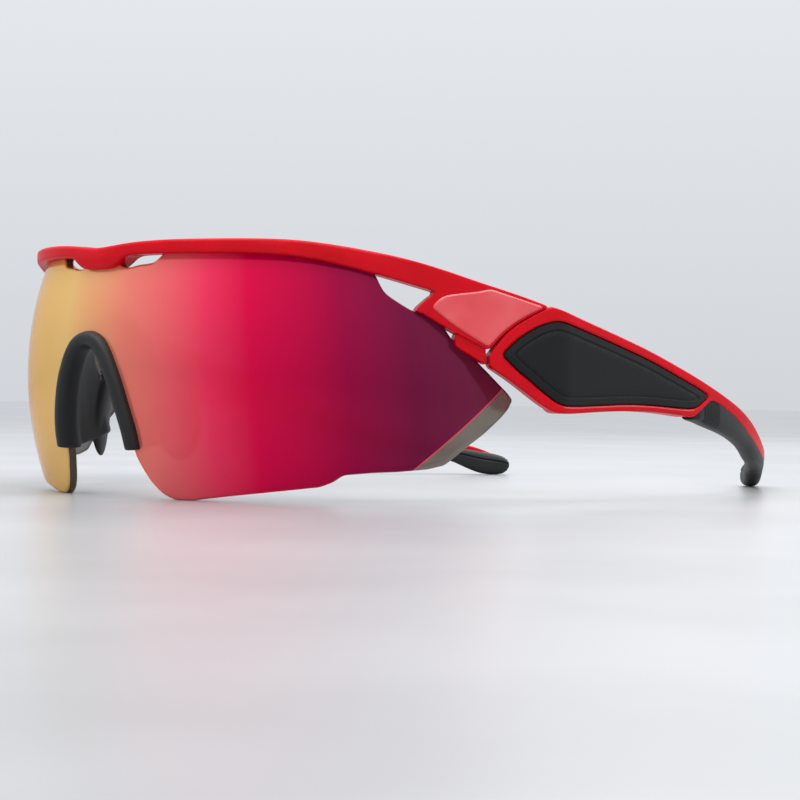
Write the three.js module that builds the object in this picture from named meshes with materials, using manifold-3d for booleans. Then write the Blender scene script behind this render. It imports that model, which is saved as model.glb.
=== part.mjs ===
// Wraparound sport sunglasses: a one-piece shield lens hung under a red brow frame, with folding
// temple arms, rubber inserts and ear tips. Millimetres, +Z up, the lens faces -Y, the wearer's
// left is +X. The glasses stand on the two lens lobes and the two ear tips.
import * as THREE from 'three';
import { mergeVertices } from 'three/addons/utils/BufferGeometryUtils.js';
import Module from 'manifold-3d';

const wasm = await Module();
wasm.setup();

// ---- driving dimensions -------------------------------------------------------------------------
const LENS_R = 62.9; // horizontal radius of the lens's outer face at its waist
const LENS_RV = 71.5; // vertical radius of the lens
const LENS_WAIST = 18.5; // height of the waist
const LENS_LEAN = -0.128; // the centre of the arc moves forward by this much per mm of height
const LENS_T = 2.0; // lens thickness
const BROW_R = 58.6; // plan radius of the frame's outer face
const BROW_Y = 59.1; // centre of that arc
const BROW_TURN = 52.8; // degrees of arc before the frame runs straight to the hinge
const CHEEK = 42.5; // length of that straight run
const CORNER_R = 8.6; // plan radius of the turn from the cheek into the arm
const ARM_STRAIGHT = 37.0; // straight stretch of the arm
const WRAP_R = 100; // plan radius that wraps the rear of the arm around the head
const FRAME_T = 5.5; // brow frame thickness
const PLATE_T = 5.0; // end plate and arm thickness
const GAP = 0.3; // clearance between fitted pieces
const PIN_Q = 95.5; // hinge axis: distance along the plan path
const PIN_IN = 8.0; // and distance inside the outer face
const PIN_R = 0.8;
const KNUCKLE_R = 2.5;
const KNUCKLES = [30.0, 32.4, 32.7, 35.7, 36.0, 38.4]; // lower, temple and upper knuckle levels
const BLOCK_FRONT = 83.6; // front of the hinge block along the plan path
const BLOCK_DEPTH = 10.4; // and its depth inside the outer face
const BLOCK_RISE = { until: 90, by: 1.7 }; // its underside is relieved ahead of the knuckles
const BLOCK_SCREW = { q: 87.6, z: 36.4, head: 1.35, seat: 1.6 };

const deg = THREE.MathUtils.degToRad;

// ---- materials ----------------------------------------------------------------------------------
const look = (color, roughness, metalness = 0) =>
  new THREE.MeshStandardMaterial({ color, roughness, metalness });
const RED = look(0xd50f22, 0.22);
const RUBBER = look(0x1c1d1e, 0.75);
const BLACK = look(0x141414, 0.5);
const STEEL = look(0xb9bcc0, 0.3, 1);
const LENS = new THREE.MeshStandardMaterial({
  color: 0xd82050, roughness: 0.08, metalness: 0.3, transparent: true, opacity: 0.8,
});

// ---- the two curved surfaces everything is laid out on ------------------------------------------

// A point on the lens: degrees from the middle, height, and distance out from the outer face.
function onLens(angle, z, out) {
  const sag = LENS_RV - Math.sqrt(LENS_RV ** 2 - (z - LENS_WAIST) ** 2);
  const r = LENS_R - sag + out;
  const centre = LENS_R + LENS_LEAN * (z - LENS_WAIST);
  return new THREE.Vector3(r * Math.sin(deg(angle)), centre - r * Math.cos(deg(angle)), z);
}

// The plan path of the frame's outer face, as stretches of [length, radius].
const PATH = [
  [BROW_R * deg(BROW_TURN), BROW_R],
  [CHEEK, Infinity],
  [CORNER_R * deg(90 - BROW_TURN), CORNER_R],
  [ARM_STRAIGHT, Infinity],
  [WRAP_R * deg(60), WRAP_R],
];

// A point beside that path: distance along it from the middle, height, and distance outwards.
function onFrame(q, z, out) {
  let x = 0;
  let y = BROW_Y - BROW_R;
  let heading = 0;
  let left = Math.abs(q);
  for (const [length, radius] of PATH) {
    const step = Math.min(left, length);
    const turn = step / radius;
    if (radius === Infinity) {
      x += step * Math.cos(heading);
      y += step * Math.sin(heading);
    } else {
      x += radius * (Math.sin(heading + turn) - Math.sin(heading));
      y += radius * (Math.cos(heading) - Math.cos(heading + turn));
    }
    heading += turn;
    left -= step;
    if (left <= 0) break;
  }
  x += out * Math.sin(heading);
  y -= out * Math.cos(heading);
  return new THREE.Vector3(q < 0 ? -x : x, y, z);
}

// ---- building blocks ----------------------------------------------------------------------------

// Keep only positions, share the vertices and make the faces point out.
function closed(geometry) {
  let bare = geometry.clone();
  bare.deleteAttribute('normal');
  bare.deleteAttribute('uv');
  bare = mergeVertices(bare, 1e-4);
  return volume(bare) < 0 ? turned(bare) : bare;
}

function volume(geometry) {
  const p = geometry.attributes.position;
  const corner = [new THREE.Vector3(), new THREE.Vector3(), new THREE.Vector3()];
  let sum = 0;
  for (let i = 0; i < geometry.index.count; i += 3) {
    corner.forEach((c, k) => c.fromBufferAttribute(p, geometry.index.getX(i + k)));
    sum += corner[0].dot(corner[1].clone().cross(corner[2])) / 6;
  }
  return sum;
}

function turned(geometry) {
  const index = geometry.index;
  for (let i = 0; i < index.count; i += 3) {
    const b = index.getX(i + 1);
    index.setX(i + 1, index.getX(i + 2));
    index.setX(i + 2, b);
  }
  return geometry;
}

function solid(geometry) {
  const g = closed(geometry);
  return new wasm.Manifold(new wasm.Mesh({
    numProp: 3,
    vertProperties: new Float32Array(g.attributes.position.array),
    triVerts: new Uint32Array(g.index.array),
  }));
}

function surface(body) {
  const { vertProperties, triVerts } = body.getMesh();
  const g = new THREE.BufferGeometry();
  g.setAttribute('position', new THREE.BufferAttribute(new Float32Array(vertProperties), 3));
  g.setIndex(new THREE.BufferAttribute(new Uint32Array(triVerts), 1));
  return g;
}

const join = (first, ...rest) => surface(rest.reduce((a, g) => a.add(solid(g)), solid(first)));
const cut = (first, ...rest) => surface(rest.reduce((a, g) => a.subtract(solid(g)), solid(first)));

// Add stations so that none are further apart than `step`; every field is interpolated.
function filled(stations, step) {
  const out = [stations[0]];
  for (let i = 1; i < stations.length; i++) {
    const a = stations[i - 1];
    const n = Math.ceil((stations[i][0] - a[0]) / step);
    for (let k = 1; k <= n; k++) out.push(a.map((v, j) => v + ((stations[i][j] - v) * k) / n));
  }
  return out;
}

// Mirror a half list of stations about its first entry, which sits on the middle plane.
const bothSides = (half) => [...half.slice(1).reverse().map(([q, ...r]) => [-q, ...r]), ...half];

// A band laid on a surface: stations are [along, low, high, inner?], `place` turns
// (along, height, out) into a point, and `soft` rounds the section's corners.
function band(stations, place, inner, outer, { rows = 1, layers = 1, soft = 0 } = {}) {
  const n = stations.length - 1;
  const g = new THREE.BoxGeometry(2, 2, 2, n, layers, rows);
  const p = g.attributes.position;
  for (let i = 0; i < p.count; i++) {
    const [q, low, high, deep = inner] = stations[Math.round(((p.getX(i) + 1) / 2) * n)];
    const v = p.getY(i);
    const w = p.getZ(i);
    const across = v * Math.sqrt(1 - (soft * w * w) / 2);
    const up = w * Math.sqrt(1 - (soft * v * v) / 2);
    const z = (low + high) / 2 + ((high - low) / 2) * up;
    const out = (deep + outer) / 2 - ((outer - deep) / 2) * across;
    const at = place(q, z, out);
    p.setXYZ(i, at.x, at.y, at.z);
  }
  return g;
}

// The same stations grown by a clearance in height and length.
function grown(stations, by) {
  return stations.map(([q, low, high, deep], i) => {
    const end = i === 0 ? -by : i === stations.length - 1 ? by : 0;
    const wide = [q + end, low - by, high + by];
    return deep === undefined ? wide : [...wide, deep - by];
  });
}

// A round bar along points, and a straight one between two points.
function bar(points, radius, steps, sides) {
  const shape = new THREE.Shape().absarc(0, 0, radius, 0, Math.PI * 2);
  const extrudePath = new THREE.CatmullRomCurve3(points, false, 'centripetal');
  return new THREE.ExtrudeGeometry(shape, { extrudePath, steps, curveSegments: sides / 2 });
}

function rod(from, to, radius, sides = 20) {
  const along = to.clone().sub(from);
  const g = new THREE.CylinderGeometry(radius, radius, along.length(), sides);
  const up = new THREE.Vector3(0, 1, 0);
  g.applyQuaternion(new THREE.Quaternion().setFromUnitVectors(up, along.clone().normalize()));
  const mid = from.clone().add(to).multiplyScalar(0.5);
  return g.translate(mid.x, mid.y, mid.z);
}

// ---- lens ---------------------------------------------------------------------------------------

// Half outline as columns of [degrees, bottom edge, top edge]: nose notch, lobe, scalloped lower
// edge and pointed tail below; latch notch, straight top, vent corner and tail slope above.
const LENS_HALF = [
  [0, 32.1, 47.4], [2.8, 31.2, 47.4], [4.3, 29.4, 47.4], [5.5, 27.2, 47.4], [6.2, 25.6, 46.6],
  [7.3, 22.9, 46.5], [8.7, 17.6, 46.5], [9.6, 13.7, 46.7], [9.9, 9.5, 46.8], [11.2, 6.2, 47.0],
  [12.6, 3.4, 47.1], [14.3, 1.4, 47.3], [15.8, 0.5, 48.4], [17.2, 0, 50.2], [20.6, 0, 50.2],
  [28.8, 1.1, 50.2], [37, 2.1, 50.2], [46, 3.2, 49.5], [48.5, 4.2, 49.0], [50.5, 5.6, 48.6],
  [55.7, 6.1, 47.6], [60.2, 6.3, 46.4], [60.6, 6.3, 43.7], [61.6, 6.4, 41.5],
  [64.2, 6.6, 39.6], [66.4, 6.8, 38.2], [69.9, 7.6, 37.6], [72.4, 9.5, 35.6], [73.1, 10.1, 31.6],
  [78.5, 13.8, 27.5], [82.9, 17.2, 24.0], [85.1, 19.2, 22.0], [85.6, 20.2, 21.2],
];
const LENS_COLUMNS = bothSides(filled(LENS_HALF, 5));

const lens = () => band(LENS_COLUMNS, onLens, -LENS_T, 0, { rows: 6 });

// The room the lens needs in the pieces that hold it.
const lensRoom = () => band(grown(LENS_COLUMNS, GAP), onLens, -LENS_T - GAP, GAP, { rows: 6 });

// ---- brow frame ---------------------------------------------------------------------------------

// Half of the arched bar as [distance, underside, top].
const BROW_HALF = [
  [0, 48.9, 50.5], [4, 48.9, 50.9], [10, 48.9, 51.5], [17, 49.0, 51.8], [24, 49.1, 51.9],
  [40, 48.9, 51.9], [47, 48.3, 51.6], [53, 47.2, 50.9], [58, 46.2, 50.2],
];
// Half of the latch tab that hangs in front of the lens's top edge.
const TAB_HALF = [[0, 46.1, 49.5], [4.5, 46.3, 49.5], [6.6, 47.4, 49.5], [7.2, 48.6, 49.5]];
// The end plate in (distance, height): top edge, slanted joint with the arm, claw, vent corner.
const END_PLATE = [
  [56.5, 50.4], [61.7, 49.5], [66.5, 48.7], [70.5, 47.8], [74.5, 46.6], [82.5, 44.0],
  [90.6, 41.6], [97.0, 39.4], [92.6, 37.2], [88.6, 34.7], [84.7, 30.4], [77.6, 33.9],
  [71.0, 37.8], [69.8, 38.1], [70.2, 38.9], [72.7, 41.3], [73.9, 41.9], [61.9, 45.2],
  [56.5, 46.5],
];

// A flat outline raised off the cheek plane, from `inner` to `outer`.
function cheekPlate(outline, inner, outer, bevel = 0) {
  const shape = new THREE.Shape(outline.map(([q, z]) => new THREE.Vector2(q, z)));
  const g = new THREE.ExtrudeGeometry(shape, {
    depth: outer - inner - 2 * bevel, bevelEnabled: bevel > 0, bevelThickness: bevel,
    bevelSize: bevel, bevelOffset: -bevel, bevelSegments: 1,
  });
  g.translate(0, 0, inner + bevel);
  return ontoCheek(g);
}

// Carry (distance, height, outwards) coordinates onto the cheek plane.
function ontoCheek(g) {
  const h = deg(BROW_TURN);
  const along = new THREE.Vector3(Math.cos(h), Math.sin(h), 0);
  const out = new THREE.Vector3(Math.sin(h), -Math.cos(h), 0);
  const start = PATH[0][0];
  const origin = onFrame(start, 0, 0).addScaledVector(along, -start);
  const frame = new THREE.Matrix4().makeBasis(along, new THREE.Vector3(0, 0, 1), out);
  return g.applyMatrix4(frame.setPosition(origin));
}

const mirrored = (g) => turned(closed(g).scale(-1, 1, 1));

function browFrame() {
  const arch = band(bothSides(filled(BROW_HALF, 3.5)), onFrame, -FRAME_T, 0,
    { rows: 2, layers: 2, soft: 0.25 });
  const tab = band(bothSides(filled(TAB_HALF, 3)), onFrame, -2.2, -0.05);
  const plate = cheekPlate(END_PLATE, -PLATE_T, 0, 0.5);
  const whole = join(arch, tab, plate, mirrored(plate));
  const screw = rod(blockScrewAt(-11), blockScrewAt(-1.6), PIN_R + 0.1);
  return cut(whole, lensRoom(), screw, mirrored(screw));
}

// ---- nose piece ---------------------------------------------------------------------------------

// Half of the notch edge as [degrees, height]: the rubber bead straddles it.
const NOTCH_HALF = [[0, 32.1], [2.8, 31.2], [4.3, 29.4], [5.5, 27.2], [7.3, 22.9], [8.7, 17.6],
  [9.6, 13.7], [9.9, 9.6]];
// Half of the saddle behind the lens, and the wire inside it, as points.
const SADDLE_HALF = [[0, 36.0, -5.2], [4.5, 35.4, -5.4], [8.2, 32.6, -6.0], [10.2, 28.6, -7.2],
  [11.2, 24.5, -8.6]];
const PAD_AT = new THREE.Vector3(12.6, 12.6, 17.6);
const PAD_SIZE = new THREE.Vector3(1.9, 4.6, 10.2);
const PAD_TURN = 38; // degrees the pads open towards the face

const twoSided = (half, place) => bothSides(half).map((p) => place(...p));

// The bead: a rounded strip swept along the notch edge, deeper than it is wide.
function noseBead() {
  const line = twoSided(NOTCH_HALF, (a, z) => new THREE.Vector3(a, z, 0));
  const curve = new THREE.CatmullRomCurve3(line, false, 'centripetal');
  const steps = 30;
  const mmPerDegree = LENS_R * deg(1);
  const g = new THREE.BoxGeometry(2, 2, 2, steps, 4, 3);
  const p = g.attributes.position;
  for (let i = 0; i < p.count; i++) {
    const t = (p.getX(i) + 1) / 2;
    const v = p.getY(i);
    const w = p.getZ(i);
    const at = curve.getPoint(t);
    const way = curve.getTangent(t);
    const side = new THREE.Vector2(-way.y, way.x * mmPerDegree).normalize();
    const wide = 1.5 * w * Math.sqrt(1 - (0.7 * v * v) / 2);
    const out = -0.5 + 2.6 * -v * Math.sqrt(1 - (0.7 * w * w) / 2);
    const spot = onLens(at.x + (side.x * wide) / mmPerDegree, at.y + side.y * wide, out);
    p.setXYZ(i, spot.x, spot.y, spot.z);
  }
  return g;
}

function nosePad() {
  const g = new THREE.SphereGeometry(1, 16, 12).rotateX(Math.PI / 2);
  g.scale(PAD_SIZE.x, PAD_SIZE.y, PAD_SIZE.z);
  g.rotateZ(-deg(PAD_TURN));
  return g.rotateY(-deg(7)).translate(PAD_AT.x, PAD_AT.y, PAD_AT.z);
}

// The stem that carries a pad from the bead and the saddle.
function padStem() {
  const points = [onLens(9.6, 24, -3.0), onLens(10.6, 21.5, -6), PAD_AT.clone()];
  return bar(points, 2.1, 6, 10);
}

const wirePoints = (half) => [
  ...half.slice().reverse().map((v) => v.clone().setX(-v.x)), ...half.slice(1)];

function noseWire(radius, tail) {
  const half = SADDLE_HALF.map((p) => onLens(...p));
  half.push(PAD_AT.clone().add(new THREE.Vector3(0.5, -0.5, 2)));
  half.push(PAD_AT.clone().add(new THREE.Vector3(0.9, -0.4, -tail)));
  return bar(wirePoints(half), radius, 32, 8);
}

function nosePiece() {
  const saddle = bar(twoSided(SADDLE_HALF, onLens), 2.5, 20, 12);
  const pad = nosePad();
  const stem = padStem();
  const whole = join(noseBead(), saddle, pad, mirrored(pad), stem, mirrored(stem));
  return cut(whole, lensRoom(), noseWire(0.95, 14));
}

// ---- hinge --------------------------------------------------------------------------------------

const cheek = (q, z, out) => {
  const g = ontoCheek(new THREE.BufferGeometry().setFromPoints([new THREE.Vector3(q, z, out)]));
  return new THREE.Vector3().fromBufferAttribute(g.attributes.position, 0);
};
const blockScrewAt = (out) => cheek(BLOCK_SCREW.q, BLOCK_SCREW.z, out);
const PIN = cheek(PIN_Q, 0, -PIN_IN);
const pinAt = (z) => new THREE.Vector3(PIN.x, PIN.y, z);
const pinHole = () => rod(pinAt(20), pinAt(45), PIN_R + 0.08, 24);

// Frame half: a block screwed behind the end plate, ending in a two-eared fork round the pin.
function hingeBlock() {
  const [low, , , , , high] = KNUCKLES;
  const shape = new THREE.Shape();
  shape.moveTo(BLOCK_FRONT, -PLATE_T - GAP);
  shape.lineTo(BLOCK_FRONT, -BLOCK_DEPTH + 1.8);
  shape.lineTo(BLOCK_FRONT + 2, -BLOCK_DEPTH);
  shape.lineTo(PIN_Q, -PIN_IN - KNUCKLE_R);
  shape.absarc(PIN_Q, -PIN_IN, KNUCKLE_R, -Math.PI / 2, Math.PI / 2);
  shape.lineTo(PIN_Q - 2, -PLATE_T - GAP);
  const body = new THREE.ExtrudeGeometry(shape, {
    depth: high - low, bevelEnabled: false, curveSegments: 10,
  });
  // The outline is drawn as (distance, outwards), so stand it up before placing it.
  body.rotateX(Math.PI / 2).translate(0, high, 0);
  const slot = new THREE.BoxGeometry(9, KNUCKLES[3] - KNUCKLES[2] + 0.4, 16);
  slot.translate(PIN_Q + 1, (KNUCKLES[2] + KNUCKLES[3]) / 2, -PIN_IN);
  const relief = new THREE.BoxGeometry(12, 2 * BLOCK_RISE.by, 16);
  relief.translate(BLOCK_RISE.until - 6, low, -PIN_IN);
  const screw = rod(blockScrewAt(-13), blockScrewAt(-1), PIN_R + 0.1);
  const seat = rod(blockScrewAt(-13), blockScrewAt(1 - BLOCK_DEPTH), BLOCK_SCREW.seat);
  return cut(ontoCheek(body), ontoCheek(slot), ontoCheek(relief), pinHole(), screw, seat);
}

function blockScrew() {
  const shank = rod(blockScrewAt(0.6 - BLOCK_DEPTH), blockScrewAt(-2), PIN_R);
  const top = 0.7 - BLOCK_DEPTH;
  return join(shank, rod(blockScrewAt(top - 0.9), blockScrewAt(top), BLOCK_SCREW.head));
}

function hingeScrew() {
  const shank = rod(pinAt(KNUCKLES[0] - 0.4), pinAt(KNUCKLES[5] + 0.4), PIN_R, 24);
  return join(shank, rod(pinAt(KNUCKLES[5] + 0.25), pinAt(KNUCKLES[5] + 1.1), 1.7, 24));
}

// Temple half: one knuckle between the fork's ears and a plate screwed inside the arm.
const LEAF_SCREW = { y: 71, z: 30.2 };
const armInner = () => onFrame(106, 0, -PLATE_T).x;

function templeLeaf() {
  const x = armInner() - GAP;
  const low = KNUCKLES[2];
  const high = KNUCKLES[3];
  const knuckle = rod(pinAt(low), pinAt(high), KNUCKLE_R, 24);
  const web = new THREE.BoxGeometry(x - 1.2 - PIN.x, 5.4, high - low);
  web.translate((PIN.x + x - 1.2) / 2, PIN.y + 2.7, (low + high) / 2);
  const plate = new THREE.BoxGeometry(1.6, 11, 6.6).translate(x - 0.8, 69, 31);
  const { y, z } = LEAF_SCREW;
  const hole = rod(new THREE.Vector3(x - 4, y, z), new THREE.Vector3(x + 4, y, z), PIN_R + 0.1);
  return cut(join(knuckle, web, plate), pinHole(), hole);
}

function leafScrew() {
  const x = armInner() - GAP;
  const { y, z } = LEAF_SCREW;
  const shank = rod(new THREE.Vector3(x - 2.1, y, z), new THREE.Vector3(x + 3.0, y, z), PIN_R);
  const head = rod(new THREE.Vector3(x - 2.7, y, z), new THREE.Vector3(x - 1.9, y, z), 1.4);
  return join(shank, head);
}

// ---- temple arm ---------------------------------------------------------------------------------

// The arm as [distance, lower edge, upper edge, inner face]: a slanted front, a deep middle, and
// a thin spine that runs on over the ear tip.
const ARM = [
  [84.6, 28.9, 29.5, -5], [86.8, 26.7, 32.2, -5], [88.9, 24.9, 34.4, -5], [90.9, 23.2, 35.8, -5],
  [92.9, 21.6, 36.9, -5], [95, 20.0, 38.0, -5], [97.3, 18.6, 38.9, -5], [99.2, 18.1, 38.4, -5],
  [103.4, 18.1, 37.4, -5], [111.3, 18.5, 35.4, -5], [119.5, 18.7, 33.3, -5],
  [127.7, 18.6, 31.1, -5], [135, 18.2, 28.8, -5], [143.9, 17.4, 25.9, -5],
  [146.2, 18.6, 25.2, -4.6], [150.9, 21.0, 23.7, -3], [153.1, 20.9, 23.0, -2.3],
  [160, 18.6, 20.9, -2.3], [165.8, 16.4, 19.3, -2.3], [175, 12.5, 16.3, -2.3],
  [184.5, 9.2, 12.8, -2.3], [190, 7.9, 11.0, -2.3], [196, 7.0, 9.8, -2.3],
  [204, 6.5, 9.2, -2.3], [212, 6.1, 9.0, -2.3], [217, 5.5, 8.0, -2.3], [220.5, 4.8, 6.7, -2.3],
];
// The rubber panel in the arm's outer face and the cover in its inner face.
const INSERT = [
  [88.2, 29.0, 30.0], [90.7, 26.6, 32.6], [92.9, 24.8, 34.2], [94.8, 23.1, 35.4],
  [97.8, 20.8, 36.4], [99.6, 20.0, 36.4], [101.8, 19.6, 35.9], [111.2, 19.9, 33.6],
  [119.5, 20.2, 31.5], [127.8, 20.1, 29.3], [134.9, 19.7, 27.0], [142.8, 19.2, 24.4],
  [145.8, 19.9, 23.5], [149, 21.5, 22.4],
];
const COVER = [
  [115.5, 20.6, 31.4], [119.5, 20.6, 31.2], [127.8, 20.5, 28.9], [135, 20.1, 26.6],
  [142, 19.6, 24.2],
];
const EAR_TIP = [
  [144.8, 17.0, 17.8], [147.5, 16.3, 19.6], [151, 15.5, 22.2], [153.5, 15.0, 22.3],
  [160, 13.8, 20.2], [165.8, 12.6, 18.6], [175, 10.3, 15.6], [184.5, 7.3, 12.1],
  [190, 6.3, 10.3], [196, 5.6, 9.1], [204, 4.9, 8.5], [209, 4.2, 8.4], [213, 2.2, 8.2],
  [216.5, 0, 7.4], [222.5, 0, 5.8], [225, 1.4, 4.4],
];
const EAR_WIRE = [
  [128, 24.2], [136, 22.6], [144, 20.9], [152, 19.0], [160, 17.0], [170, 14.0], [180, 10.6],
  [190, 8.2], [200, 7.0],
];

const armStations = () => filled(ARM, 6);

function templeArm() {
  const body = band(armStations(), onFrame, -5, 0, { rows: 2, layers: 2, soft: 0.18 });
  const pocket = band(grown(filled(INSERT, 6), GAP), onFrame, -1.5, 1);
  const well = band(grown(filled(COVER, 6), GAP), onFrame, -7, -4.1);
  const { y, z } = LEAF_SCREW;
  const x = armInner();
  const hole = rod(new THREE.Vector3(x - 3, y, z), new THREE.Vector3(x + 3.2, y, z), PIN_R + 0.1);
  return cut(body, pocket, well, earWire(0.85, 8), hole);
}

const templeInsert = () => band(filled(INSERT, 6), onFrame, -1.2, 0.15);

const templeCover = () => band(filled(COVER, 6), onFrame, -5.1, -4.4);

function earTip() {
  const body = band(filled(EAR_TIP, 5), onFrame, -4.6, -0.1);
  const spine = armStations().map(([q, low, high, deep]) => [q, low, high + 3, deep]);
  const room = band(grown(spine, GAP), onFrame, -5, 1.5);
  return cut(body, room, earWire(0.85, 8));
}

// The wire from the arm into the ear tip; `run` lengthens it at the front to make its channel.
function earWire(radius, run = 0) {
  const [q, z] = EAR_WIRE[0];
  const line = run > 0 ? [[q - run, z + 1.6], ...EAR_WIRE] : EAR_WIRE;
  return bar(line.map(([along, up]) => onFrame(along, up, -3.3)), radius, 24, 8);
}

// ---- assembly -----------------------------------------------------------------------------------
const glasses = new THREE.Group();

function add(name, geometry, material) {
  const mesh = new THREE.Mesh(closed(geometry), material);
  mesh.name = name;
  glasses.add(mesh);
}

function addPair(name, geometry, material) {
  add(`${name}_left`, geometry, material);
  add(`${name}_right`, mirrored(geometry), material);
}

add('brow_frame', browFrame(), RED);
add('shield_lens', lens(), LENS);
add('nose_piece', nosePiece(), RUBBER);
add('nose_core_wire', noseWire(0.4, 4), STEEL);
addPair('hinge_block', hingeBlock(), BLACK);
addPair('hinge_block_screw', blockScrew(), STEEL);
addPair('hinge_screw', hingeScrew(), STEEL);
addPair('temple_hinge_leaf', templeLeaf(), STEEL);
addPair('leaf_screw', leafScrew(), STEEL);
addPair('temple_arm', templeArm(), RED);
addPair('temple_insert', templeInsert(), RUBBER);
addPair('temple_inner_cover', templeCover(), BLACK);
addPair('ear_tip', earTip(), RUBBER);
addPair('ear_core_wire', earWire(0.6), STEEL);

// The origin is the middle of the footprint, on the surface that the glasses stand on.
const box = new THREE.Box3().setFromObject(glasses);
glasses.position.y = -(box.min.y + box.max.y) / 2;
glasses.updateMatrixWorld(true);

export default glasses;
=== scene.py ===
import math

import bmesh
import bpy
import numpy as np
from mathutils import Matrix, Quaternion, Vector
from mathutils.geometry import delaunay_2d_cdt


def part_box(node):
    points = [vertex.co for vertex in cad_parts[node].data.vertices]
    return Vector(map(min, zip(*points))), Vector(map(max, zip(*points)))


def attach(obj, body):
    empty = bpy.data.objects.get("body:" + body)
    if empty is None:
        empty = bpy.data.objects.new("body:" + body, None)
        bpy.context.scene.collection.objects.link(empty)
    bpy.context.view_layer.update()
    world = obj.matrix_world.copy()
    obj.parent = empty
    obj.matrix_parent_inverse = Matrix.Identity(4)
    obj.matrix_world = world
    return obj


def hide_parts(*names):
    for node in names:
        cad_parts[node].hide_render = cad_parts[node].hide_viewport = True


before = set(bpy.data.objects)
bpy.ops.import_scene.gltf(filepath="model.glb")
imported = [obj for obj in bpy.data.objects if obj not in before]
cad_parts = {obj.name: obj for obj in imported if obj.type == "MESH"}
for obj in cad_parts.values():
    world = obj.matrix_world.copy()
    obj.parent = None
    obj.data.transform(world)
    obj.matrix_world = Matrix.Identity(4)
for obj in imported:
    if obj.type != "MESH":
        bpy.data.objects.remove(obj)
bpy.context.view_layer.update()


# ---- studio -------------------------------------------------------------------------------------
# A pale floor of satin board in a plain pale room, with one broad light overhead and one behind.
# The camera is low and to the wearer's left of the glasses. One unit here is a metre.
FLOOR_COLOURS, FLOOR_REACH = ("#A3A5A8", "#ADAFB2"), 3
ROOM_STOPS = [(0.0, "#A8AAAD"), (0.5, "#B4B7BB"), (0.60, "#C6C9CD"), (1.0, "#FFFFFF")]
ROOM_STRENGTH = 1.15
EXPOSURE = 0.3
LIGHTS = {  # place, aim, width, height, watts
    "overhead": ((0.03, -0.06, 0.62), (0, 0, 0.02), 0.70, 0.60, 2.6),
    "behind": ((-0.10, 0.50, 0.42), (0, 0, 0.03), 0.60, 0.30, 1.0),
}
EYE = (0.34951, -0.35946, 0.02166)
EYE_YAW = math.radians(43.878)
EYE_ROLL = 0.01187
FOCAL_MM = 97.47
SHIFT_UP = -0.0073


def linear(colour):
    """An sRGB hex colour as linear red, green, blue and alpha."""
    parts = [int(colour[i:i + 2], 16) / 255 for i in (1, 3, 5)]
    return [c / 12.92 if c <= 0.04045 else ((c + 0.055) / 1.055) ** 2.4 for c in parts] + [1.0]


def add(tree, kind, settings=None, stops=(), **sockets):
    """Adds a node. Each socket, by name or as _0, _1, takes a value or another node's output, and
    stops are the (place, hex colour) pairs of a node that has them."""
    made = tree.nodes.new("ShaderNode" + kind)
    for key, value in (settings or {}).items():
        setattr(made, key, value)
    for k, (place, colour) in enumerate(stops):
        elements = made.color_ramp.elements
        element = elements[k] if k < len(elements) else elements.new(place)
        element.position, element.color = place, linear(colour)
    for key, value in sockets.items():
        name = int(key[1:]) if key[0] == "_" else key.replace("_", " ")
        if isinstance(value, bpy.types.NodeSocket):
            tree.links.new(value, made.inputs[name])
        else:
            made.inputs[name].default_value = value
    return made


def finish_material(name, paint):
    """A material whose Principled shader gets the values and links that paint(tree) returns."""
    made = bpy.data.materials.new(name)
    made.use_nodes = True
    tree = made.node_tree
    tree.nodes.clear()
    shader = add(tree, "BsdfPrincipled", **paint(tree))
    add(tree, "OutputMaterial", Surface=shader.outputs[0])
    return made


def satin_board(tree):
    """Painted board: an even matt pale grey with a faint mottle about 60 mm across."""
    here = add(tree, "TexCoord").outputs["Object"]
    mottle = add(tree, "TexNoise", Vector=here, Scale=1 / 0.06, Detail=3.0)
    return {
        "Base_Color": add(tree, "ValToRGB", stops=zip((0.35, 0.65), FLOOR_COLOURS),
                          Fac=mottle.outputs[0]).outputs[0],
        "Roughness": 0.32,
        "Specular_IOR_Level": 0.5,
    }


def object_from(name, mesh):
    made = bpy.data.objects.new(name, mesh)
    bpy.context.scene.collection.objects.link(made)
    return made


floor_mesh = bpy.data.meshes.new("studio_floor")
floor_corners = [(x * FLOOR_REACH, y * FLOOR_REACH, 0)
                 for x, y in ((-1, -1), (1, -1), (1, 1), (-1, 1))]
floor_mesh.from_pydata(floor_corners, [], [(0, 1, 2, 3)])
floor_mesh.materials.append(finish_material("painted_board_satin", satin_board))
object_from("studio_floor", floor_mesh)

room = bpy.data.worlds.new("studio_room")
room.use_nodes = True
room_tree = room.node_tree
room_tree.nodes.clear()
upward = add(room_tree, "SeparateXYZ", Vector=add(room_tree, "TexCoord").outputs["Generated"])
height_share = add(room_tree, "MapRange", Value=upward.outputs["Z"], From_Min=-1.0)
glow = add(room_tree, "Background", Strength=ROOM_STRENGTH,
           Color=add(room_tree, "ValToRGB", stops=ROOM_STOPS,
                     Fac=height_share.outputs[0]).outputs[0])
add(room_tree, "OutputWorld", Surface=glow.outputs[0])
bpy.context.scene.world = room
bpy.context.scene.view_settings.view_transform = "Standard"
bpy.context.scene.view_settings.exposure = EXPOSURE

for light_name, (place, aim, width, height, watts) in LIGHTS.items():
    lamp = bpy.data.lights.new(light_name, "AREA")
    lamp.shape = "RECTANGLE"
    lamp.size, lamp.size_y, lamp.energy = width, height, watts
    light = object_from(light_name, lamp)
    light.location = place
    light.rotation_euler = (Vector(aim) - Vector(place)).to_track_quat("-Z", "Y").to_euler()

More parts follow.
